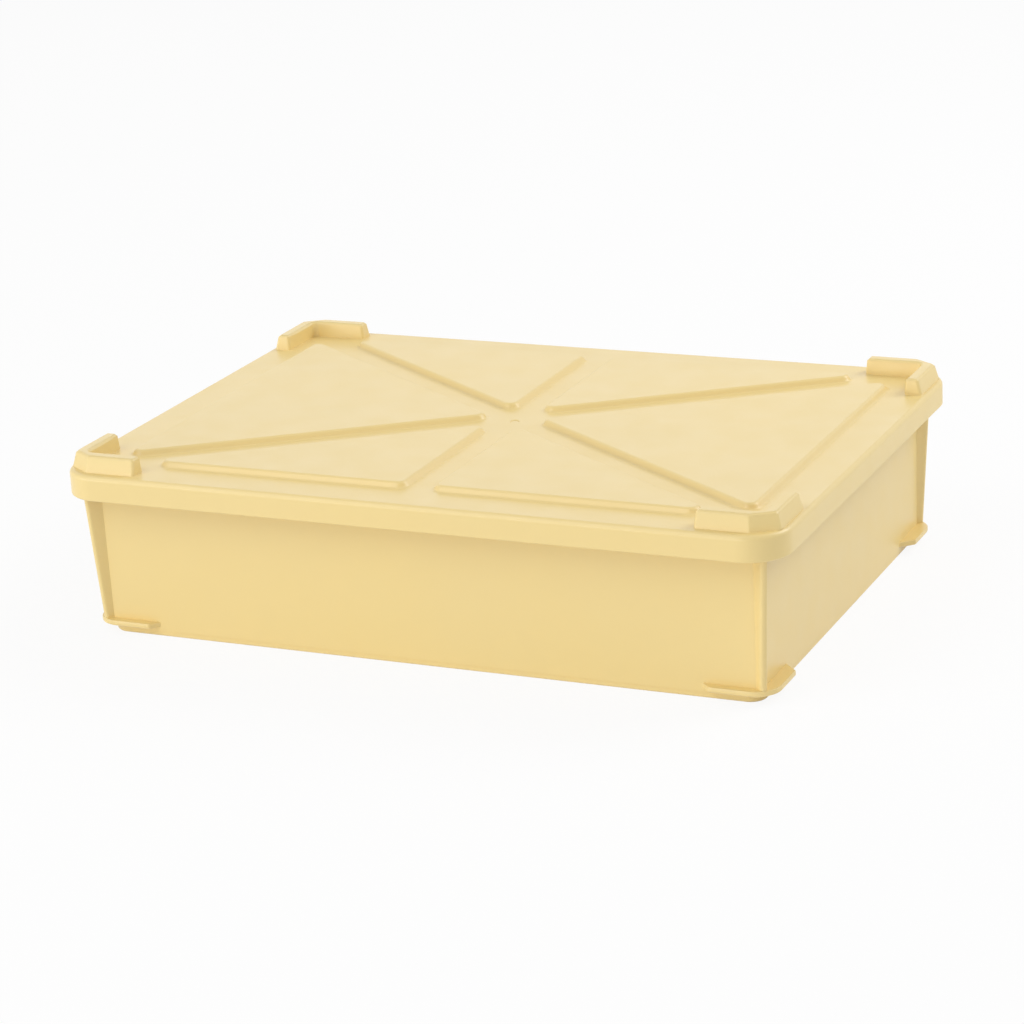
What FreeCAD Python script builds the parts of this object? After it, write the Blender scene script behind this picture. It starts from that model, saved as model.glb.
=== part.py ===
import FreeCAD, Part
import math
import os
import Sketcher

# A shallow stacking box for proofing dough, moulded in one piece, with a drop-over lid moulded in another.
# X runs along the long side, the front looks towards -Y, and the box stands on Z = 0 about its own middle.

SIZES = {
    # The whole product, seen from above, and how far its lid stands out past the foot of the walls
    "overall_length": 600.0,
    "overall_width": 434.0,
    "lid_overhang": 23.5,
    # The box: height to the rim, the walls and the plinth
    "rim_height": 135.5,
    "wall_thickness": 3.0,
    "floor_thickness": 3.0,
    "wall_draft": 1.0,
    "outer_corner_radius": 6.0,
    "inner_corner_radius": 9.0,
    "floor_edge_radius": 6.0,
    "plinth_height": 5.0,
    "plinth_step": 0.8,
    "plinth_corner_radius": 13.0,
    "plinth_edge_chamfer": 1.2,
    # The rim: a flange that carries the lid, with its edge turned down
    "flange_thickness": 3.0,
    "lip_height": 15.0,
    "lip_thickness": 2.2,
    "rim_outer_radius": 3.0,
    "mouth_edge_chamfer": 0.8,
    # The corner fins and feet
    "fin_thickness": 6.3,
    "fin_reach_top": 10.9,
    "fin_reach_base": 3.5,
    "fin_nose_radius": 3.0,
    "foot_clearance": 7.8,
    "foot_thickness": 4.5,
    "foot_side_stand": 11.0,
    "foot_front_stand": 7.2,
    "foot_leg_long": 47.0,
    "foot_leg_short": 54.0,
    "foot_corner_radius": 20.0,
    "foot_end_radius": 3.0,
    "foot_edge_chamfer": 0.8,
    # The lid: a plate with a skirt all round
    "lid_thickness": 2.5,
    "lid_clearance": 1.5,
    "lid_corner_radius": 33.0,
    "lid_edge_radius": 4.0,
    "skirt_height": 20.5,
    "skirt_edge_chamfer": 0.7,
    # The raised panels of the lid, and the star of grooves between them
    "border_width": 35.0,
    "groove_width": 21.0,
    "panel_rise": 4.6,
    "panel_bevel": 3.2,
    "panel_corner_radius": 9.0,
    "gate_diameter": 6.0,
    "gate_depth": 0.6,
    # The corner upstands of the lid, which locate the next box of a stack
    "upstand_height": 13.0,
    "upstand_side_setback": 4.5,
    "upstand_front_setback": 8.5,
    "upstand_foot_width": 15.0,
    "upstand_top_width": 10.5,
    "upstand_outer_slope": 3.5,
    "upstand_end_slope": 1.0,
    "upstand_leg": 63.0,
    "upstand_cut_long": 20.0,
    "upstand_cut_short": 13.0,
    "upstand_cut_radius": 3.0,
    "upstand_core_width": 5.0,
    "upstand_end_radius": 2.5,
    "upstand_inner_radius": 5.0,
    "upstand_edge_chamfer": 2.0,
}

# Edges count as lying at a height, or on a line, when they are this close to it
TOUCH_SHARE = 0.0001

doc = FreeCAD.newDocument("DoughBox")
sheet = doc.addObject("Spreadsheet::Sheet", "Sizes")
for row, (alias, size) in enumerate(SIZES.items(), start=1):
    sheet.set(f"A{row}", alias)
    sheet.set(f"B{row}", str(size))
    sheet.setAlias(f"B{row}", alias)
doc.recompute()

touch = SIZES["overall_length"] * TOUCH_SHARE


def value(expression):
    """Works out an expression of the sheet's aliases as a plain number."""
    return float(sheet.evalExpression(expression))


def plane(body, role):
    """Finds one of the body's own origin planes."""
    return next(feature for feature in body.Origin.OriginFeatures if feature.Role == role)


def flat_sketch(body, name, height):
    """Adds a sketch that lies flat at the given height."""
    sketch = body.newObject("Sketcher::SketchObject", name)
    sketch.AttachmentSupport = (plane(body, "XY_Plane"), [""])
    sketch.MapMode = "FlatFace"
    sketch.setExpression("AttachmentOffset.Base.z", height)
    return sketch


def name_last(sketch, name, expression):
    """Names the constraint that was added last and ties it to the sheet."""
    last = sketch.ConstraintCount - 1
    sketch.renameConstraint(last, name)
    sketch.setExpression(f"Constraints.{name}", expression)


def unit(turn):
    """Gives the direction of a side that runs at the given angle."""
    return FreeCAD.Vector(math.cos(turn), math.sin(turn), 0)


def crossing(side, following):
    """Finds the point where two sides, each a running angle and an offset, cross."""
    (turn_a, offset_a), (turn_b, offset_b) = side, following
    normal_a = FreeCAD.Vector(-math.sin(turn_a), math.cos(turn_a), 0)
    normal_b = FreeCAD.Vector(-math.sin(turn_b), math.cos(turn_b), 0)
    scale = normal_a.x * normal_b.y - normal_a.y * normal_b.x
    cross_x = (offset_b * normal_a.y - offset_a * normal_b.y) / scale
    cross_y = (offset_a * normal_b.x - offset_b * normal_a.x) / scale
    return FreeCAD.Vector(cross_x, cross_y, 0)


def outline(sketch, label, sides, radii):
    """Draws a closed outline of straight sides, walked counter-clockwise, and ties it to the sheet.

    A side is the angle at which it runs, in degrees, and how far the middle of the box lies to its left.
    The radius after each side rounds its corner with the next one, and None leaves that corner sharp.
    """
    count = len(sides)
    runs = [(math.radians(value(turn)), value(offset)) for turn, offset in sides]
    corners = [crossing(runs[i], runs[(i + 1) % count]) for i in range(count)]
    ends = []
    for i, corner in enumerate(corners):
        turn, following = runs[i][0], runs[(i + 1) % count][0]
        bend = math.remainder(following - turn, math.tau)
        radius = 0 if radii[i] is None else value(radii[i])
        reach = radius * math.tan(abs(bend) / 2)
        ends.append((corner - unit(turn) * reach, corner + unit(following) * reach, bend, radius))
    lines = [sketch.addGeometry(Part.LineSegment(ends[i - 1][1], ends[i][0])) for i in range(count)]
    for i, (start, finish, bend, radius) in enumerate(ends):
        line, following = lines[i], lines[(i + 1) % count]
        if radii[i] is None:
            sketch.addConstraint(Sketcher.Constraint("Coincident", line, 2, following, 1))
            continue
        left = FreeCAD.Vector(-math.sin(runs[i][0]), math.cos(runs[i][0]), 0)
        middle = start + left * math.copysign(radius, bend)
        first, second = (start, finish) if bend > 0 else (finish, start)
        angles = [math.atan2(point.y - middle.y, point.x - middle.x) for point in (first, second)]
        circle = Part.Circle(middle, FreeCAD.Vector(0, 0, 1), radius)
        arc = sketch.addGeometry(Part.ArcOfCircle(circle, *angles))
        near, far = (1, 2) if bend > 0 else (2, 1)
        sketch.addConstraint(Sketcher.Constraint("Tangent", line, 2, arc, near))
        sketch.addConstraint(Sketcher.Constraint("Tangent", arc, far, following, 1))
        sketch.addConstraint(Sketcher.Constraint("Radius", arc, radius))
        name_last(sketch, f"{label}_radius_{i}", radii[i])
    for i, (turn, offset) in enumerate(sides):
        angle, distance = runs[i]
        if turn in ("0", "180"):
            sketch.addConstraint(Sketcher.Constraint("Horizontal", lines[i]))
        elif turn in ("90", "270"):
            sketch.addConstraint(Sketcher.Constraint("Vertical", lines[i]))
        else:
            sketch.addConstraint(Sketcher.Constraint("Angle", lines[i], angle))
            name_last(sketch, f"{label}_turn_{i}", f"({turn}) * 1 deg")
        sketch.addConstraint(Sketcher.Constraint("Distance", -1, 1, lines[i], abs(distance)))
        name_last(sketch, f"{label}_offset_{i}", f"abs({offset})")


def rectangle(sketch, label, half_x, half_y, radius):
    """Draws a rounded rectangle about the middle of the box."""
    sides = [("90", half_x), ("180", half_y), ("270", half_x), ("0", half_y)]
    outline(sketch, label, sides, [radius] * len(sides))


def pad(body, name, sketch, length):
    """Raises a sketch by the given length."""
    feature = body.newObject("PartDesign::Pad", name)
    feature.Profile = sketch
    feature.setExpression("Length", length)
    return feature


def pocket_up(body, name, sketch, length):
    """Cuts a sketch upwards by the given length."""
    feature = body.newObject("PartDesign::Pocket", name)
    feature.Profile = sketch
    feature.Reversed = True
    feature.setExpression("Length", length)
    return feature


def loft(body, name, kind, lower, upper):
    """Joins two sketches by a straight-sided loft, added or cut away."""
    feature = body.newObject(f"PartDesign::{kind}Loft", name)
    feature.Profile = lower
    feature.Sections = [upper]
    feature.Ruled = True
    return feature


def mirrored(body, name, originals, roles):
    """Repeats features on the other side of each named origin plane."""
    feature = body.newObject("PartDesign::MultiTransform", name)
    feature.Originals = originals
    mirrors = []
    for role in roles:
        mirror = body.newObject("PartDesign::Mirrored", f"{name}_{role}")
        mirror.MirrorPlane = (plane(body, role), [""])
        mirrors.append(mirror)
    feature.Transformations = mirrors
    body.Tip = feature
    return feature


def ease_edges(body, name, kind, size, wanted):
    """Rounds or chamfers those edges of the body so far that the test picks out."""
    doc.recompute()
    base = body.Tip
    names = [f"Edge{i}" for i, edge in enumerate(base.Shape.Edges, start=1) if wanted(edge.BoundBox)]
    feature = body.newObject(f"PartDesign::{kind}", name)
    feature.Base = (base, names)
    feature.setExpression("Radius" if kind == "Fillet" else "Size", size)
    return feature


def slant_walls(body, name, level, outside, wanted):
    """Drafts the upright faces that the test picks out, so that they spread upwards from the given level."""
    doc.recompute()
    base = body.Tip
    boxes = [(f"Face{i}", face.BoundBox) for i, face in enumerate(base.Shape.Faces, start=1)]
    feature = body.newObject("PartDesign::Draft", name)
    feature.Base = (base, [face for face, box in boxes if wanted(box)])
    feature.NeutralPlane = (base, [face for face, box in boxes if lies_at(box, level)])
    feature.Reversed = outside
    feature.setExpression("Angle", "atan(Sizes.wall_draft / (Sizes.rim_height - Sizes.plinth_height))")
    return feature


def lies_at(box, height):
    """Tells whether an edge lies flat at the given height."""
    return abs(box.ZMin - height) < touch and abs(box.ZMax - height) < touch


def reaches(box, half_x, half_y):
    """Tells whether an edge keeps outside the rectangle with the given half sizes."""
    return max(abs(box.XMin), abs(box.XMax)) > half_x or max(abs(box.YMin), abs(box.YMax)) > half_y


# Places that both mouldings share, as expressions of the sheet
LID_X = "Sizes.overall_length / 2"
LID_Y = "Sizes.overall_width / 2"
BASE_X = f"({LID_X} - Sizes.lid_overhang)"
BASE_Y = f"({LID_Y} - Sizes.lid_overhang)"
MOUTH_X = f"{BASE_X} + Sizes.wall_draft"
MOUTH_Y = f"{BASE_Y} + Sizes.wall_draft"
SKIRT_X = f"{LID_X} - Sizes.lid_thickness"
SKIRT_Y = f"{LID_Y} - Sizes.lid_thickness"
SKIRT_RADIUS = "Sizes.lid_corner_radius - Sizes.lid_thickness"
FLANGE_X = f"{SKIRT_X} - Sizes.lid_clearance"
FLANGE_Y = f"{SKIRT_Y} - Sizes.lid_clearance"
FLANGE_RADIUS = f"{SKIRT_RADIUS} - Sizes.lid_clearance"
BORDER_TOP = "Sizes.rim_height + Sizes.lid_thickness"
PANEL_TOP = f"{BORDER_TOP} + Sizes.panel_rise"
UPSTAND_TOP = f"{BORDER_TOP} + Sizes.upstand_height"
SKIRT_BOTTOM = f"{BORDER_TOP} - Sizes.skirt_height"
BOTH_SIDES = ["YZ_Plane"]
ALL_CORNERS = ["YZ_Plane", "XZ_Plane"]

# The slanted grooves run from the middle of the lid to the corners of the panelled field
GROOVE_ANGLE = f"(atan(({LID_Y} - Sizes.border_width) / ({LID_X} - Sizes.border_width)) / 1 deg)"

# The outer corner of an upstand is cut by a slanted face, at this angle and distance from the middle
UPSTAND_X = f"({LID_X} - Sizes.upstand_side_setback)"
UPSTAND_Y = f"({LID_Y} - Sizes.upstand_front_setback)"
CUT_LENGTH = "sqrt(Sizes.upstand_cut_long ^ 2 + Sizes.upstand_cut_short ^ 2)"
CUT_TURN = "(180 - atan(Sizes.upstand_cut_short / Sizes.upstand_cut_long) / 1 deg)"
CUT_POINTS = f"Sizes.upstand_cut_short * {UPSTAND_X} + Sizes.upstand_cut_long * {UPSTAND_Y}"
CUT_FACE = f"({CUT_POINTS} - Sizes.upstand_cut_long * Sizes.upstand_cut_short) / {CUT_LENGTH}"

# The hollow behind a panel keeps the plate's thickness, measured square to the slanted bevel
BEVEL_LENGTH = "sqrt(Sizes.panel_rise ^ 2 + Sizes.panel_bevel ^ 2)"
HOLLOW_INSET = f"Sizes.lid_thickness * ({BEVEL_LENGTH} - Sizes.panel_bevel) / Sizes.panel_rise"


def fin_outline(sketch, half_x, half_y, reach):
    """Draws the section of a corner fin, which stands out along the diagonal of the wall's corner."""
    along = f"({half_x} + {half_y}) / sqrt(2)"
    aside = f"({half_x} - ({half_y})) / sqrt(2)"
    root = "2 * Sizes.wall_thickness"
    sides = [
        ("45", f"{aside} + Sizes.fin_thickness / 2"),
        ("135", f"{along} + {reach}"),
        ("225", f"Sizes.fin_thickness / 2 - {aside}"),
        ("315", f"{root} - {along}"),
    ]
    nose = "Sizes.fin_nose_radius"
    outline(sketch, "fin", sides, [nose, nose, None, None])


def foot_outline(sketch):
    """Draws a corner foot, an angle with slanted ends that stands out from the base."""
    diagonal = "sqrt(2)"
    sides = [
        ("90", f"{BASE_X} + Sizes.foot_side_stand"),
        ("180", f"{BASE_Y} + Sizes.foot_front_stand"),
        ("225", f"({BASE_Y} - ({BASE_X} - Sizes.foot_leg_long)) / {diagonal}"),
        ("0", f"Sizes.wall_thickness - {BASE_Y}"),
        ("270", f"Sizes.wall_thickness - {BASE_X}"),
        ("45", f"({BASE_X} - ({BASE_Y} - Sizes.foot_leg_short)) / {diagonal}"),
    ]
    end = "Sizes.foot_end_radius"
    outline(sketch, "foot", sides, ["Sizes.foot_corner_radius", end, None, None, None, end])


def add_rim(body):
    """Adds the flange that carries the lid, with its edge turned down as a lip."""
    flange = flat_sketch(body, "FlangeOutline", "Sizes.rim_height - Sizes.flange_thickness")
    rectangle(flange, "flange", FLANGE_X, FLANGE_Y, FLANGE_RADIUS)
    pad(body, "Flange", flange, "Sizes.flange_thickness")
    lip = flat_sketch(body, "LipOutline", "Sizes.rim_height - Sizes.lip_height")
    outer = (FLANGE_X, FLANGE_Y, FLANGE_RADIUS)
    rectangle(lip, "outer", *outer)
    rectangle(lip, "inner", *(f"{size} - Sizes.lip_thickness" for size in outer))
    pad(body, "Lip", lip, "Sizes.lip_height")
    rim_height = value("Sizes.rim_height")
    ease_edges(body, "RimEdge", "Fillet", "Sizes.rim_outer_radius", lambda box: lies_at(box, rim_height))


def add_feet(body):
    """Adds a foot round each corner of the base, with its free edges chamfered."""
    sketch = flat_sketch(body, "FootOutline", "Sizes.foot_clearance")
    foot_outline(sketch)
    foot = pad(body, "Foot", sketch, "Sizes.foot_thickness")
    mirrored(body, "Feet", [foot], ALL_CORNERS)
    heights = [value("Sizes.foot_clearance"), value("Sizes.foot_clearance + Sizes.foot_thickness")]
    wall_x = value(MOUTH_X) + touch
    wall_y = value(MOUTH_Y) + touch
    ease_edges(body, "FootEdges", "Chamfer", "Sizes.foot_edge_chamfer",
               lambda box: reaches(box, wall_x, wall_y) and any(lies_at(box, height) for height in heights))


def add_fins(body):
    """Adds the fin up each corner, which stands out further at the top than at the foot."""
    low = flat_sketch(body, "FinFoot", "Sizes.foot_clearance")
    fin_outline(low, BASE_X, BASE_Y, "Sizes.fin_reach_base")
    high = flat_sketch(body, "FinTop", "Sizes.rim_height - Sizes.flange_thickness")
    fin_outline(high, MOUTH_X, MOUTH_Y, "Sizes.fin_reach_top")
    fin = loft(body, "Fin", "Additive", low, high)
    mirrored(body, "Fins", [fin], ALL_CORNERS)


def hollow_out(body):
    """Cuts the drafted inside of the box, rounds the edge of its floor and chamfers its mouth."""
    floor_height = value("Sizes.floor_thickness")
    rim_height = value("Sizes.rim_height")
    mouth_x = value(MOUTH_X)
    mouth_y = value(MOUTH_Y)
    floor = flat_sketch(body, "FloorOutline", "Sizes.floor_thickness")
    floor_x = f"{BASE_X} - Sizes.wall_thickness"
    floor_y = f"{BASE_Y} - Sizes.wall_thickness"
    rectangle(floor, "floor", floor_x, floor_y, "Sizes.inner_corner_radius")
    pocket_up(body, "Inside", floor, "Sizes.rim_height - Sizes.floor_thickness")
    slant_walls(body, "InsideDraft", floor_height, False,
                lambda box: abs(box.ZMin - floor_height) < touch and abs(box.ZMax - rim_height) < touch)
    ease_edges(body, "FloorEdge", "Fillet", "Sizes.floor_edge_radius",
               lambda box: lies_at(box, floor_height) and not reaches(box, mouth_x, mouth_y))
    ease_edges(body, "MouthEdge", "Chamfer", "Sizes.mouth_edge_chamfer",
               lambda box: lies_at(box, rim_height) and not reaches(box, mouth_x, mouth_y))


def build_container():
    """Models the box: drafted walls on a plinth, the rim, and feet and fins at the corners."""
    body = doc.addObject("PartDesign::Body", "Container")
    body.Label = "container"

    walls = flat_sketch(body, "WallOutline", "Sizes.plinth_height")
    rectangle(walls, "wall", BASE_X, BASE_Y, "Sizes.outer_corner_radius")
    pad(body, "Walls", walls, "Sizes.rim_height - Sizes.flange_thickness - Sizes.plinth_height")
    slant_walls(body, "WallDraft", value("Sizes.plinth_height"), True, lambda box: box.ZLength > touch)
    plinth = flat_sketch(body, "PlinthOutline", "0")
    plinth_x = f"{BASE_X} - Sizes.plinth_step"
    plinth_y = f"{BASE_Y} - Sizes.plinth_step"
    rectangle(plinth, "plinth", plinth_x, plinth_y, "Sizes.plinth_corner_radius")
    pad(body, "Plinth", plinth, "Sizes.plinth_height")
    ease_edges(body, "PlinthEdge", "Chamfer", "Sizes.plinth_edge_chamfer", lambda box: lies_at(box, 0))

    add_rim(body)
    add_feet(body)
    add_fins(body)
    hollow_out(body)
    return body


def side_panel(sketch, inset):
    """Draws the three-sided panel at the right-hand end, drawn in all round by the inset."""
    edge = f"{LID_X} - Sizes.border_width - ({inset})"
    gap = f"-(Sizes.groove_width / 2 + {inset})"
    sides = [("90", edge), (f"180 + {GROOVE_ANGLE}", gap), (f"360 - {GROOVE_ANGLE}", gap)]
    outline(sketch, "side", sides, [f"Sizes.panel_corner_radius - ({inset})"] * len(sides))


def back_panel(sketch, inset):
    """Draws the three-sided panel at the back on the right, drawn in all round by the inset."""
    edge = f"{LID_Y} - Sizes.border_width - ({inset})"
    gap = f"-(Sizes.groove_width / 2 + {inset})"
    sides = [("180", edge), ("270", gap), (GROOVE_ANGLE, gap)]
    outline(sketch, "back", sides, [f"Sizes.panel_corner_radius - ({inset})"] * len(sides))


def upstand_outline(sketch, inset, width, end, radii, core=None):
    """Draws an angle-shaped upstand with its outer corner cut at a slant.

    The inset draws its outside in, and the end draws its ends in. A core, given as a distance from the
    middle of the box, cuts the inner corner at the same slant.
    """
    outer_x = f"({UPSTAND_X} - ({inset}))"
    outer_y = f"({UPSTAND_Y} - ({inset}))"
    inner = [("0", f"{width} - {outer_y}"), ("270", f"{width} - {outer_x}")]
    if core is not None:
        inner.insert(1, (f"{CUT_TURN} + 180", f"-({core})"))
    sides = [
        ("90", outer_x),
        (CUT_TURN, f"{CUT_FACE} - ({inset})"),
        ("180", outer_y),
        ("270", f"Sizes.upstand_leg - ({end}) - {UPSTAND_X}"),
        *inner,
        ("0", f"Sizes.upstand_leg - ({end}) - {UPSTAND_Y}"),
    ]
    outline(sketch, "upstand", sides, radii or [None] * len(sides))


def add_panels(body):
    """Raises the panels from the lid's plate and hollows them from below, so that the wall stays even."""
    for name, draw, roles in (("Side", side_panel, BOTH_SIDES), ("Back", back_panel, ALL_CORNERS)):
        foot = flat_sketch(body, f"{name}PanelFoot", BORDER_TOP)
        draw(foot, "0")
        top = flat_sketch(body, f"{name}PanelTop", PANEL_TOP)
        draw(top, "Sizes.panel_bevel")
        panel = loft(body, f"{name}Panel", "Additive", foot, top)
        mirrored(body, f"{name}Panels", [panel], roles)
        hollow_foot = flat_sketch(body, f"{name}HollowFoot", "Sizes.rim_height")
        draw(hollow_foot, HOLLOW_INSET)
        hollow_top = flat_sketch(body, f"{name}HollowTop", "Sizes.rim_height + Sizes.panel_rise")
        draw(hollow_top, f"{HOLLOW_INSET} + Sizes.panel_bevel")
        hollow = loft(body, f"{name}Hollow", "Subtractive", hollow_foot, hollow_top)
        mirrored(body, f"{name}Hollows", [hollow], roles)


def add_upstands(body):
    """Raises an upstand at each corner of the lid, slanted outside, and hollows it from below."""
    slope = "Sizes.upstand_outer_slope"
    wall = "Sizes.lid_thickness"
    cut = "Sizes.upstand_cut_radius"
    end = "Sizes.upstand_end_radius"
    rounds = [cut, cut, end, end, "Sizes.upstand_inner_radius", end, end]
    foot = flat_sketch(body, "UpstandFoot", BORDER_TOP)
    upstand_outline(foot, "0", "Sizes.upstand_foot_width", "0", rounds)
    top = flat_sketch(body, "UpstandTop", UPSTAND_TOP)
    upstand_outline(top, slope, "Sizes.upstand_top_width", "Sizes.upstand_end_slope", rounds)
    upstand = loft(body, "Upstand", "Additive", foot, top)
    mirrored(body, "Upstands", [upstand], ALL_CORNERS)
    top_height = value(UPSTAND_TOP)
    ease_edges(body, "UpstandEdges", "Chamfer", "Sizes.upstand_edge_chamfer",
               lambda box: lies_at(box, top_height))

    core = f"{CUT_FACE} - {wall} - Sizes.upstand_core_width"
    hollow_foot = flat_sketch(body, "UpstandHollowFoot", "Sizes.rim_height")
    upstand_outline(hollow_foot, wall, f"Sizes.upstand_foot_width - 2 * {wall}", wall, None, core)
    hollow_top = flat_sketch(body, "UpstandHollowTop", "Sizes.rim_height + Sizes.upstand_height")
    upstand_outline(hollow_top, f"{slope} + {wall}", f"Sizes.upstand_top_width - 2 * {wall}",
                    f"Sizes.upstand_end_slope + {wall}", None, core)
    hollow = loft(body, "UpstandHollow", "Subtractive", hollow_foot, hollow_top)
    mirrored(body, "UpstandHollows", [hollow], ALL_CORNERS)


def add_gate_mark(body):
    """Sinks the small round mark that the mould's gate leaves in the middle of the lid."""
    middle = FreeCAD.Vector(0, 0, 0)
    sketch = flat_sketch(body, "GateOutline", f"{BORDER_TOP} - Sizes.gate_depth")
    sketch.addGeometry(Part.Circle(middle, FreeCAD.Vector(0, 0, 1), value("Sizes.gate_diameter / 2")))
    sketch.addConstraint(Sketcher.Constraint("Coincident", 0, 3, -1, 1))
    sketch.addConstraint(Sketcher.Constraint("Diameter", 0, value("Sizes.gate_diameter")))
    name_last(sketch, "gate_diameter", "Sizes.gate_diameter")
    pocket_up(body, "GateMark", sketch, "Sizes.gate_depth")


def build_lid():
    """Models the lid: a skirted plate with raised panels and hollow corner upstands."""
    body = doc.addObject("PartDesign::Body", "Lid")
    body.Label = "lid"
    border_top = value(BORDER_TOP)
    skirt_bottom = value(SKIRT_BOTTOM)

    skirt = flat_sketch(body, "SkirtOutline", SKIRT_BOTTOM)
    rectangle(skirt, "skirt", LID_X, LID_Y, "Sizes.lid_corner_radius")
    pad(body, "Skirt", skirt, "Sizes.skirt_height")
    ease_edges(body, "LidEdge", "Fillet", "Sizes.lid_edge_radius", lambda box: lies_at(box, border_top))
    hollow = flat_sketch(body, "HollowOutline", SKIRT_BOTTOM)
    rectangle(hollow, "hollow", SKIRT_X, SKIRT_Y, SKIRT_RADIUS)
    pocket_up(body, "LidHollow", hollow, "Sizes.skirt_height - Sizes.lid_thickness")
    ease_edges(body, "SkirtEdge", "Chamfer", "Sizes.skirt_edge_chamfer",
               lambda box: lies_at(box, skirt_bottom))

    add_panels(body)
    add_upstands(body)
    add_gate_mark(body)
    return body


bodies = [build_container(), build_lid()]
doc.recompute()

failed = [item.Name for item in doc.Objects if {"Invalid", "Error"} & set(item.State)]
if failed:
    raise RuntimeError(f"These objects failed: {', '.join(failed)}")
for body in bodies:
    if body.Shape.isNull() or not body.Shape.isValid() or len(body.Shape.Solids) != 1:
        raise RuntimeError(f"{body.Label} is not one valid solid")

os.makedirs("parts", exist_ok=True)
for body in bodies:
    body.Shape.exportStep(os.path.join("parts", f"{body.Label}.step"))
    print(body.Label, round(body.Shape.Volume), body.Shape.BoundBox)
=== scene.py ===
"""Looks of a dough proofing container: a shallow cream box with a drop-over lid.

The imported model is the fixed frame. Each moulding is dressed as a merged copy of its CAD node with its
edges softened, and stands on a pale floor in soft studio light, seen from the photograph's angle.
"""

import logging
import math
from dataclasses import dataclass, field
from enum import Enum
from typing import Callable

import bmesh
import bpy
from mathutils import Matrix, Vector


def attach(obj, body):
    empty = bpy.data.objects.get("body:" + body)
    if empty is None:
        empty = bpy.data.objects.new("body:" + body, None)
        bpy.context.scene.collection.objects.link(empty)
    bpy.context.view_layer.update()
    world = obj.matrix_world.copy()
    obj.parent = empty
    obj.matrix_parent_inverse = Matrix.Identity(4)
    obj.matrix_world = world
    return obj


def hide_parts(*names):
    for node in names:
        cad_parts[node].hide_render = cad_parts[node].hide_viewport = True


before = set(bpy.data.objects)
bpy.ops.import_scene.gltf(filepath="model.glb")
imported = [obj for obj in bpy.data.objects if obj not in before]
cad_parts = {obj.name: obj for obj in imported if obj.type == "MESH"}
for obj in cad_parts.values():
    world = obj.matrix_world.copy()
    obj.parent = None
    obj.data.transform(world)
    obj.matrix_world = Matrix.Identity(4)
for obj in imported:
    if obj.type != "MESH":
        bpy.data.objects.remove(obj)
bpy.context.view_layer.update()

MILLIMETRE = 0.001
ROUNDING = "rounding"

LOG = logging.getLogger("dough_box")

Colour = tuple[float, float, float]
Point = tuple[float, float, float]
Span = tuple[float, float]

WHITE: Colour = (1.0, 1.0, 1.0)
UPWARDS: Point = (0.0, 0.0, 1.0)


class Moulding(Enum):
    """The two mouldings, by the name of their CAD node and body."""

    CONTAINER = "container"
    LID = "lid"


class LampRole(Enum):
    """The lamps, by where they stand: over the front left, low in front, at the right and at the back."""

    KEY = "key_lamp"
    FRONT = "front_lamp"
    SIDE = "side_lamp"
    BACK = "back_lamp"


class MixSocket(Enum):
    """The Mix node's sockets for colours, which share their names with those for other kinds."""

    FIRST = 6
    SECOND = 7
    RESULT = 2


def rgba(colour: Colour) -> tuple[float, float, float, float]:
    """Adds full opacity to a colour."""
    return (*colour, 1.0)


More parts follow.
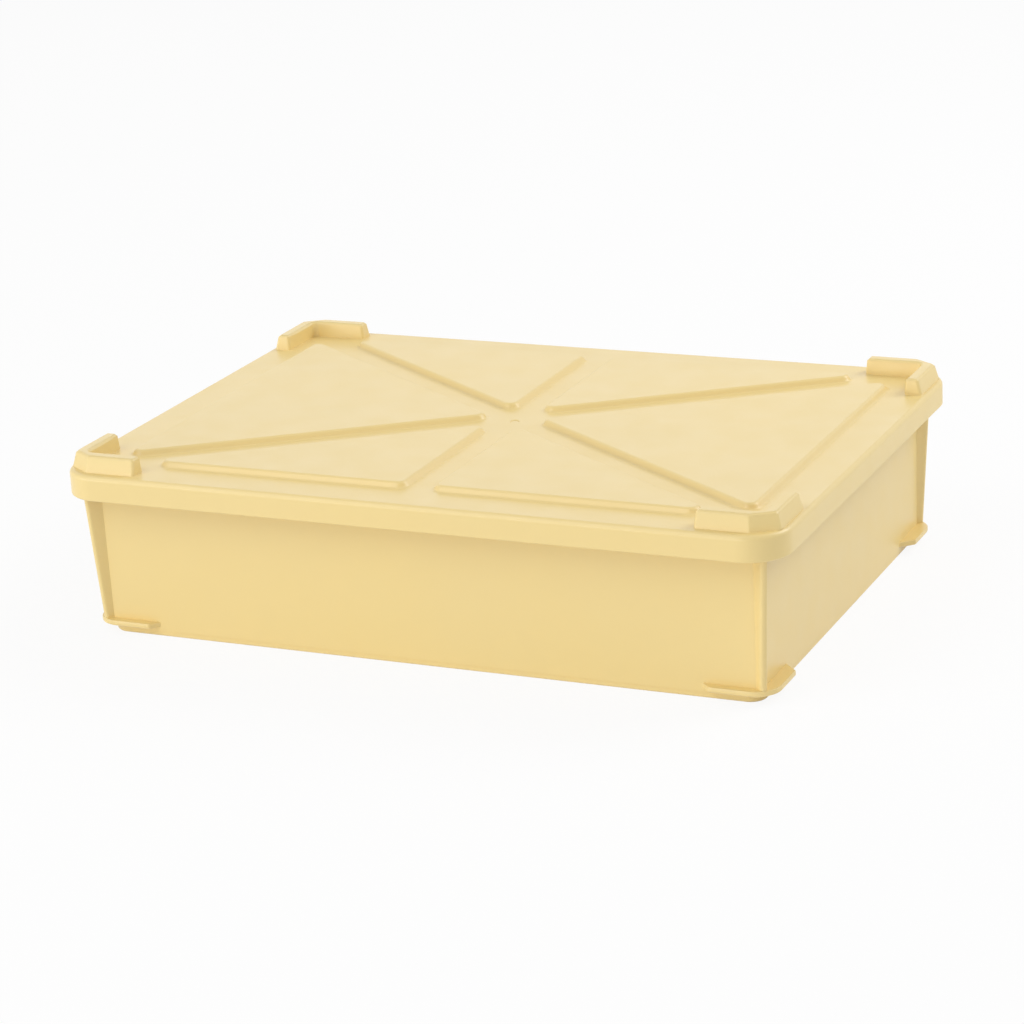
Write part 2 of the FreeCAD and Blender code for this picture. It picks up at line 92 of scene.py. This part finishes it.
class NodeBench:
    """Adds and joins nodes in one node tree.

    Args:
        tree: The node tree to work in, which is emptied first.
    """

    def __init__(self, tree: bpy.types.NodeTree) -> None:
        """Empties the tree."""
        self.tree = tree
        tree.nodes.clear()

    def add(self, kind: str, **inputs: object) -> bpy.types.Node:
        """Adds a node and sets its sockets.

        Args:
            kind: Blender's name for the node type.
            inputs: Socket values, by socket name with underscores for blanks.

        Returns:
            The new node.
        """
        node = self.tree.nodes.new(kind)
        for name, setting in inputs.items():
            node.inputs[name.replace("_", " ")].default_value = setting
        return node

    def join(self, start: bpy.types.NodeSocket, end: bpy.types.NodeSocket) -> None:
        """Links two sockets."""
        self.tree.links.new(start, end)

    def noise(self, place: bpy.types.NodeSocket, scale: float, detail: float) -> bpy.types.NodeSocket:
        """Adds a noise texture.

        Args:
            place: The coordinates that it reads.
            scale: Patches per metre.
            detail: How many finer layers it has.

        Returns:
            The noise's value socket.
        """
        node = self.add("ShaderNodeTexNoise", Scale=scale, Detail=detail)
        self.join(place, node.inputs["Vector"])
        return node.outputs["Fac"]

    def spread(self, source: bpy.types.NodeSocket, ends: Span, results: Span) -> bpy.types.NodeSocket:
        """Maps one range of numbers to another.

        Args:
            source: The socket to map.
            ends: Where the source range starts and stops.
            results: The values that these two ends are mapped to.

        Returns:
            The mapped value socket.
        """
        node = self.add("ShaderNodeMapRange")
        for name, setting in zip(("From Min", "From Max", "To Min", "To Max"), (*ends, *results)):
            node.inputs[name].default_value = setting
        self.join(source, node.inputs["Value"])
        return node.outputs["Result"]

    def reckon(self, operation: str, first: bpy.types.NodeSocket,
               second: bpy.types.NodeSocket | float) -> bpy.types.NodeSocket:
        """Adds or multiplies two shares and keeps the result from 0 to 1.

        Args:
            operation: ADD or MULTIPLY.
            first: The first share.
            second: The second share, as a socket or a plain number.

        Returns:
            The result's socket.
        """
        node = self.tree.nodes.new("ShaderNodeMath")
        node.operation = operation
        node.use_clamp = True
        self.join(first, node.inputs[0])
        if isinstance(second, bpy.types.NodeSocket):
            self.join(second, node.inputs[1])
        else:
            node.inputs[1].default_value = second
        return node.outputs[0]

    def tint(self, share: bpy.types.NodeSocket, first: bpy.types.NodeSocket | Colour,
             second: Colour) -> bpy.types.NodeSocket:
        """Mixes from a first colour, or a colour socket, to a second colour.

        Args:
            share: How much of the second colour shows.
            first: A colour or the socket that gives one.
            second: The colour to mix in.

        Returns:
            The mixed colour socket.
        """
        node = self.tree.nodes.new("ShaderNodeMix")
        node.data_type = "RGBA"
        self.join(share, node.inputs["Factor"])
        start = node.inputs[MixSocket.FIRST.value]
        if isinstance(first, bpy.types.NodeSocket):
            self.join(first, start)
        else:
            start.default_value = rgba(first)
        node.inputs[MixSocket.SECOND.value].default_value = rgba(second)
        return node.outputs[MixSocket.RESULT.value]

    def blend(self, share: bpy.types.NodeSocket, first: bpy.types.NodeSocket,
              second: bpy.types.NodeSocket) -> bpy.types.NodeSocket:
        """Mixes two shaders.

        Args:
            share: How much of the second shader shows.
            first: The first shader's socket.
            second: The second shader's socket.

        Returns:
            The mixed shader's socket.
        """
        node = self.tree.nodes.new("ShaderNodeMixShader")
        self.join(share, node.inputs["Fac"])
        self.join(first, node.inputs[1])
        self.join(second, node.inputs[2])
        return node.outputs["Shader"]

    def seen(self) -> bpy.types.NodeSocket:
        """Tells camera, mirror and see-through rays from the rays that only carry light.

        Returns:
            A socket that is 1 for the rays that show the background.
        """
        path = self.tree.nodes.new("ShaderNodeLightPath")
        total = path.outputs["Is Camera Ray"]
        for name in ("Is Glossy Ray", "Is Transmission Ray"):
            total = self.reckon("ADD", total, path.outputs[name])
        return total


@dataclass(frozen=True)
class CreamPlastic:
    """Satin cream polypropylene, with soft mottling, a painted highlight on the rounded edges and a fine
    moulded grain.
    """

    name: str = "cream_plastic"
    body: Colour = (0.87, 0.673, 0.282)
    cool_patch: Colour = (0.86, 0.670, 0.290)
    # Painted highlight: a lighter colour laid on the sharp rounded edges, standing in for the light they
    # catch.
    highlight_colour: Colour = (0.91, 0.75, 0.42)
    refraction: float = 1.49
    specular: float = 0.7
    roughness: Span = (0.32, 0.40)
    gloss_per_metre: float = 40.0
    gloss_detail: float = 4.0
    gloss_span: Span = (0.3, 0.7)
    patch_per_metre: float = 7.0
    patch_detail: float = 3.0
    patch_span: Span = (0.35, 0.65)
    patch_share: Span = (0.0, 1.0)
    # Pointiness range and strength of the painted edge highlight.
    highlight_span: Span = (0.52, 0.62)
    highlight_share: Span = (0.0, 0.6)
    sink_per_metre: float = 9.0
    sink_detail: float = 1.0
    sink_height: float = 0.15 * MILLIMETRE
    grain_per_metre: float = 900.0
    grain_detail: float = 2.0
    grain_height: float = 0.03 * MILLIMETRE

    def make(self) -> bpy.types.Material:
        """Builds the material.

        Returns:
            The finished material.
        """
        material = bpy.data.materials.new(self.name)
        material.use_nodes = True
        bench = NodeBench(material.node_tree)
        output = bench.add("ShaderNodeOutputMaterial")
        shader = bench.add("ShaderNodeBsdfPrincipled", IOR=self.refraction,
                           Specular_IOR_Level=self.specular)
        bench.join(shader.outputs["BSDF"], output.inputs["Surface"])
        place = bench.tree.nodes.new("ShaderNodeTexCoord").outputs["Object"]
        bench.join(self.colour(bench, place), shader.inputs["Base Color"])
        gloss = bench.noise(place, self.gloss_per_metre, self.gloss_detail)
        bench.join(bench.spread(gloss, self.gloss_span, self.roughness), shader.inputs["Roughness"])
        bench.join(self.relief(bench, place), shader.inputs["Normal"])
        return material

    def colour(self, bench: NodeBench, place: bpy.types.NodeSocket) -> bpy.types.NodeSocket:
        """Mottles the plastic and paints a lighter highlight onto its rounded outer edges.

        Args:
            bench: The material's nodes.
            place: The coordinates that the mottling reads.

        Returns:
            The colour socket.
        """
        patches = bench.noise(place, self.patch_per_metre, self.patch_detail)
        mottled = bench.tint(bench.spread(patches, self.patch_span, self.patch_share),
                             self.body, self.cool_patch)
        sharpness = bench.tree.nodes.new("ShaderNodeNewGeometry").outputs["Pointiness"]
        rounding = bench.tree.nodes.new("ShaderNodeAttribute")
        rounding.attribute_name = ROUNDING
        # Painted highlight: rounded strips with high pointiness are made lighter, as if light caught
        # them.
        painted_highlight = bench.reckon("MULTIPLY", bench.spread(sharpness, self.highlight_span, self.highlight_share),
                            rounding.outputs["Fac"])
        return bench.tint(painted_highlight, mottled, self.highlight_colour)

    def relief(self, bench: NodeBench, place: bpy.types.NodeSocket) -> bpy.types.NodeSocket:
        """Gives the plastic its shallow sink marks, with the moulded grain over them.

        Args:
            bench: The material's nodes.
            place: The coordinates that both read.

        Returns:
            The normal socket.
        """
        sink = bench.add("ShaderNodeBump", Strength=1.0, Distance=self.sink_height)
        bench.join(bench.noise(place, self.sink_per_metre, self.sink_detail), sink.inputs["Height"])
        grain = bench.add("ShaderNodeBump", Strength=1.0, Distance=self.grain_height)
        bench.join(bench.noise(place, self.grain_per_metre, self.grain_detail), grain.inputs["Height"])
        bench.join(sink.outputs["Normal"], grain.inputs["Normal"])
        return grain.outputs["Normal"]


@dataclass(frozen=True)
class PaleFloor:
    """Plain white studio floor that keeps the object's shadow."""

    name: str = "pale_floor"
    colour: Colour = (0.95, 0.95, 0.95)
    whiteness: float = 0.9

    def make(self) -> bpy.types.Material:
        """Builds the material.

        Returns:
            The finished material.
        """
        material = bpy.data.materials.new(self.name)
        material.use_nodes = True
        bench = NodeBench(material.node_tree)
        output = bench.add("ShaderNodeOutputMaterial")
        paint = bench.add("ShaderNodeBsdfDiffuse", Color=rgba(self.colour))
        white = bench.add("ShaderNodeEmission", Color=rgba(WHITE), Strength=1.0)
        share = bench.reckon("MULTIPLY", bench.seen(), self.whiteness)
        mixed = bench.blend(share, paint.outputs["BSDF"], white.outputs["Emission"])
        bench.join(mixed, output.inputs["Surface"])
        return material


def select_only(piece: bpy.types.Object) -> None:
    """Leaves one object selected and active."""
    bpy.ops.object.select_all(action="DESELECT")
    piece.select_set(True)
    bpy.context.view_layer.objects.active = piece


@dataclass
class MouldedPiece:
    """One moulding, as a merged copy of its CAD node with its edges softened.

    Args:
        moulding: Which of the two mouldings it is.
        finish: The plastic that it is moulded in.
    """

    moulding: Moulding
    finish: CreamPlastic
    weld: float = 0.01 * MILLIMETRE
    flat_angle: float = math.radians(0.3)
    edge_angle: float = math.radians(44.0)
    smooth_angle: float = math.radians(50.0)
    edge_width: float = 0.25 * MILLIMETRE
    edge_rings: int = 2
    shoulder_height: float = 142.6 * MILLIMETRE
    shoulder_width: float = 1.8 * MILLIMETRE
    shoulder_rings: int = 5
    foot_height: float = 138.0 * MILLIMETRE
    foot_width: float = 1.5 * MILLIMETRE
    foot_rings: int = 4
    panel_field: Span = (272.0 * MILLIMETRE, 188.0 * MILLIMETRE)
    crisp_heights: tuple[float, ...] = (5.0 * MILLIMETRE, 151.0 * MILLIMETRE)
    crisp_band: Span = (11.3 * MILLIMETRE, 12.5 * MILLIMETRE)
    piece: bpy.types.Object = field(init=False)

    def build(self) -> bpy.types.Object:
        """Copies, softens and dresses the moulding.

        Returns:
            The finished piece.
        """
        self.copy_node()
        self.merge()
        self.soften()
        self.smooth()
        self.dress()
        return self.piece

    def copy_node(self) -> None:
        """Makes the piece from the CAD node's mesh, which stays as it is."""
        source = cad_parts[self.moulding.value]
        name = f"{self.moulding.value}_moulding"
        self.piece = bpy.data.objects.new(name, source.data.copy())
        self.piece.data.name = name
        self.piece.data.materials.clear()
        bpy.context.scene.collection.objects.link(self.piece)

    def merge(self) -> None:
        """Welds the loose triangles and joins those that lie in one plane."""
        select_only(self.piece)
        bpy.ops.object.mode_set(mode="EDIT")
        bpy.ops.mesh.customdata_custom_splitnormals_clear()
        bpy.ops.mesh.select_all(action="SELECT")
        bpy.ops.mesh.remove_doubles(threshold=self.weld)
        bpy.ops.mesh.dissolve_limited(angle_limit=self.flat_angle)
        bpy.ops.object.mode_set(mode="OBJECT")

    def soften(self) -> None:
        """Rounds the raised panels broadly and the other edges a little, apart from the crisp ones."""
        self.bevel(self.shoulder_width, self.shoulder_rings,
                   lambda edge: self.is_level(edge, self.shoulder_height))
        self.bevel(self.foot_width, self.foot_rings, self.is_panel_foot)
        self.bevel(self.edge_width, self.edge_rings, lambda edge: not self.is_crisp(edge))
        self.clean()

    def is_level(self, edge: bmesh.types.BMEdge, height: float) -> bool:
        """Tells whether an edge lies at a height."""
        return all(abs(end.co.z - height) < self.weld for end in edge.verts)

    def is_crisp(self, edge: bmesh.types.BMEdge) -> bool:
        """Tells whether an edge is on the plinth's ledge, a stacking seat or a foot's chamfered top.

        Args:
            edge: The edge to look at.

        Returns:
            Whether it stays as the CAD has it.
        """
        low, high = self.crisp_band
        on_foot = all(low < end.co.z < high for end in edge.verts)
        return on_foot or any(self.is_level(edge, height) for height in self.crisp_heights)

    def is_panel_foot(self, edge: bmesh.types.BMEdge) -> bool:
        """Tells whether an edge runs round the foot of a raised panel."""
        inside = all(abs(end.co[axis]) < self.panel_field[axis] for end in edge.verts for axis in (0, 1))
        return inside and self.is_level(edge, self.foot_height)

    def bevel(self, width: float, rings: int, wanted: Callable[[bmesh.types.BMEdge], bool]) -> None:
        """Rounds those sharp edges that a test picks out.

        Args:
            width: How far the rounding reaches from the edge.
            rings: How many faces it is made of.
            wanted: Tells which of the sharp edges are rounded.
        """
        select_only(self.piece)
        bpy.ops.object.mode_set(mode="EDIT")
        bpy.ops.mesh.select_mode(type="EDGE")
        bpy.ops.mesh.select_all(action="DESELECT")
        mesh = bmesh.from_edit_mesh(self.piece.data)
        for edge in mesh.edges:
            sharp = len(edge.link_faces) == 2 and edge.calc_face_angle() > self.edge_angle
            edge.select_set(sharp and wanted(edge))
        bmesh.update_edit_mesh(self.piece.data)
        bpy.ops.mesh.bevel(offset=width, segments=rings, affect="EDGES", loop_slide=False,
                           clamp_overlap=False)
        self.mark_strips(width)
        bpy.ops.object.mode_set(mode="OBJECT")

    def mark_strips(self, width: float) -> None:
        """Marks the new strips of a rounding, so that only they get the painted edge highlight.

        The large faces that a rounding runs all the way round are selected with it, so a face counts as a
        strip only if it is narrower than the rounding.

        Args:
            width: How far the rounding reaches from the edge.
        """
        mesh = bmesh.from_edit_mesh(self.piece.data)
        mark = mesh.faces.layers.float.get(ROUNDING) or mesh.faces.layers.float.new(ROUNDING)
        for face in mesh.faces:
            if face.select and face.calc_area() < width * face.calc_perimeter() / 2:
                face[mark] = 1.0
        bmesh.update_edit_mesh(self.piece.data)

    def clean(self) -> None:
        """Takes out the faces without area that the rounding leaves."""
        select_only(self.piece)
        bpy.ops.object.mode_set(mode="EDIT")
        bpy.ops.mesh.select_all(action="SELECT")
        bpy.ops.mesh.dissolve_degenerate(threshold=self.weld)
        bpy.ops.object.mode_set(mode="OBJECT")

    def smooth(self) -> None:
        """Shades the roundings smooth and keeps the large faces flat."""
        select_only(self.piece)
        bpy.ops.object.shade_smooth_by_angle(angle=self.smooth_angle)
        weighted = self.piece.modifiers.new("even_shading", "WEIGHTED_NORMAL")
        weighted.keep_sharp = True
        bpy.ops.object.modifier_apply(modifier=weighted.name)

    def dress(self) -> None:
        """Gives the piece its plastic and its place in the frame."""
        self.piece.data.materials.append(self.finish.make())
        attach(self.piece, self.moulding.value)
        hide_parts(self.moulding.value)


@dataclass(frozen=True)
class Lamp:
    """One soft studio lamp.

    Args:
        role: Which of the lamps it is.
        place: Where it stands, in metres.
        size: Its width and height, in metres.
        power: Its light, in watts.
    """

    role: LampRole
    place: Point
    size: Span
    power: float

    def build(self, target: Vector) -> None:
        """Adds the lamp, aimed at a point.

        Args:
            target: The point that it is aimed at.
        """
        data = bpy.data.lights.new(self.role.value, "AREA")
        data.shape = "RECTANGLE"
        data.size, data.size_y = self.size
        data.energy = self.power
        lamp = bpy.data.objects.new(self.role.value, data)
        lamp.location = self.place
        lamp.rotation_euler = (target - Vector(self.place)).to_track_quat("-Z", "Y").to_euler()
        lamp.visible_camera = False
        bpy.context.scene.collection.objects.link(lamp)


@dataclass
class Studio:
    """The pale floor, the white surroundings and the soft lamps, aimed at the middle of the object."""

    floor_size: float = 40.0
    ambient: float = 0.51
    lamp_target: Point = (0.0, 0.0, 0.07)
    lamps: tuple[Lamp, ...] = (
        Lamp(LampRole.KEY, (-1.2, -1.8, 2.1), (1.8, 1.8), 20.0),
        Lamp(LampRole.FRONT, (-3.6, -5.6, 0.65), (10.0, 1.2), 156.0),
        Lamp(LampRole.SIDE, (1.73, 1.51, 1.93), (1.6, 1.6), 33.0),
        Lamp(LampRole.BACK, (-1.35, 2.65, 1.3), (2.4, 1.0), 4.0),
    )

    def build(self) -> None:
        """Sets the whole studio up."""
        self.lay_floor()
        self.paint_world()
        for lamp in self.lamps:
            lamp.build(Vector(self.lamp_target))

    def lay_floor(self) -> None:
        """Lays the floor that the object stands on."""
        bpy.ops.object.select_all(action="DESELECT")
        bpy.ops.mesh.primitive_plane_add(size=self.floor_size, location=(0.0, 0.0, 0.0))
        floor = bpy.context.active_object
        floor.name = "studio_floor"
        floor.data.materials.append(PaleFloor().make())

    def paint_world(self) -> None:
        """Makes the surroundings white to look at, and a plain even light."""
        world = bpy.data.worlds.new("studio_world")
        world.use_nodes = True
        bench = NodeBench(world.node_tree)
        output = bench.add("ShaderNodeOutputWorld")
        light = bench.add("ShaderNodeBackground", Color=rgba(WHITE), Strength=self.ambient)
        white = bench.add("ShaderNodeBackground", Color=rgba(WHITE), Strength=1.0)
        mixed = bench.blend(bench.seen(), light.outputs["Background"], white.outputs["Background"])
        bench.join(mixed, output.inputs["Surface"])
        bpy.context.scene.world = world


@dataclass(frozen=True)
class PhotoCamera:
    """Camera at the photograph's angle, as fitted to the edges of the lid and the box."""

    name: str = "photo_camera"
    azimuth: float = math.radians(24.926)
    elevation: float = math.radians(18.642)
    roll: float = math.radians(-3.229)
    distance: float = 2.58078
    target: Point = (-0.00683, 0.0, 0.06017)
    sensor: float = 36.0
    focal_pixels: float = 3171.505
    image_pixels: float = 1024.0
    nearest: float = 0.05
    farthest: float = 100.0

    def build(self) -> None:
        """Adds the camera and makes it the scene's own."""
        data = bpy.data.cameras.new(self.name)
        data.sensor_fit = "HORIZONTAL"
        data.sensor_width = self.sensor
        data.lens = self.sensor * self.focal_pixels / self.image_pixels
        data.clip_start = self.nearest
        data.clip_end = self.farthest
        camera = bpy.data.objects.new(self.name, data)
        camera.matrix_world = self.stand()
        bpy.context.scene.collection.objects.link(camera)
        bpy.context.scene.camera = camera

    def stand(self) -> Matrix:
        """Works out where the camera stands and how it is turned.

        Returns:
            The camera's matrix in the scene.
        """
        level = math.cos(self.elevation)
        back = Vector((math.sin(self.azimuth) * level, -math.cos(self.azimuth) * level,
                       math.sin(self.elevation)))
        flat_right = (-back).cross(Vector(UPWARDS)).normalized()
        flat_up = flat_right.cross(-back)
        right = flat_right * math.cos(self.roll) + flat_up * math.sin(self.roll)
        up = flat_up * math.cos(self.roll) - flat_right * math.sin(self.roll)
        turn = Matrix((right, up, back)).transposed()
        return Matrix.Translation(Vector(self.target) + back * self.distance) @ turn.to_4x4()


def main() -> None:
    """Builds the pieces in order, sets the studio up and reports each piece."""
    logging.basicConfig(level=logging.INFO, format="%(name)s: %(message)s")
    bpy.context.scene.view_settings.view_transform = "Standard"
    plastic = CreamPlastic()
    for moulding in Moulding:
        piece = MouldedPiece(moulding, plastic).build()
        LOG.info("%s: %d faces", piece.name, len(piece.data.polygons))
    Studio().build()
    PhotoCamera().build()


if __name__ == "__main__":
    main()
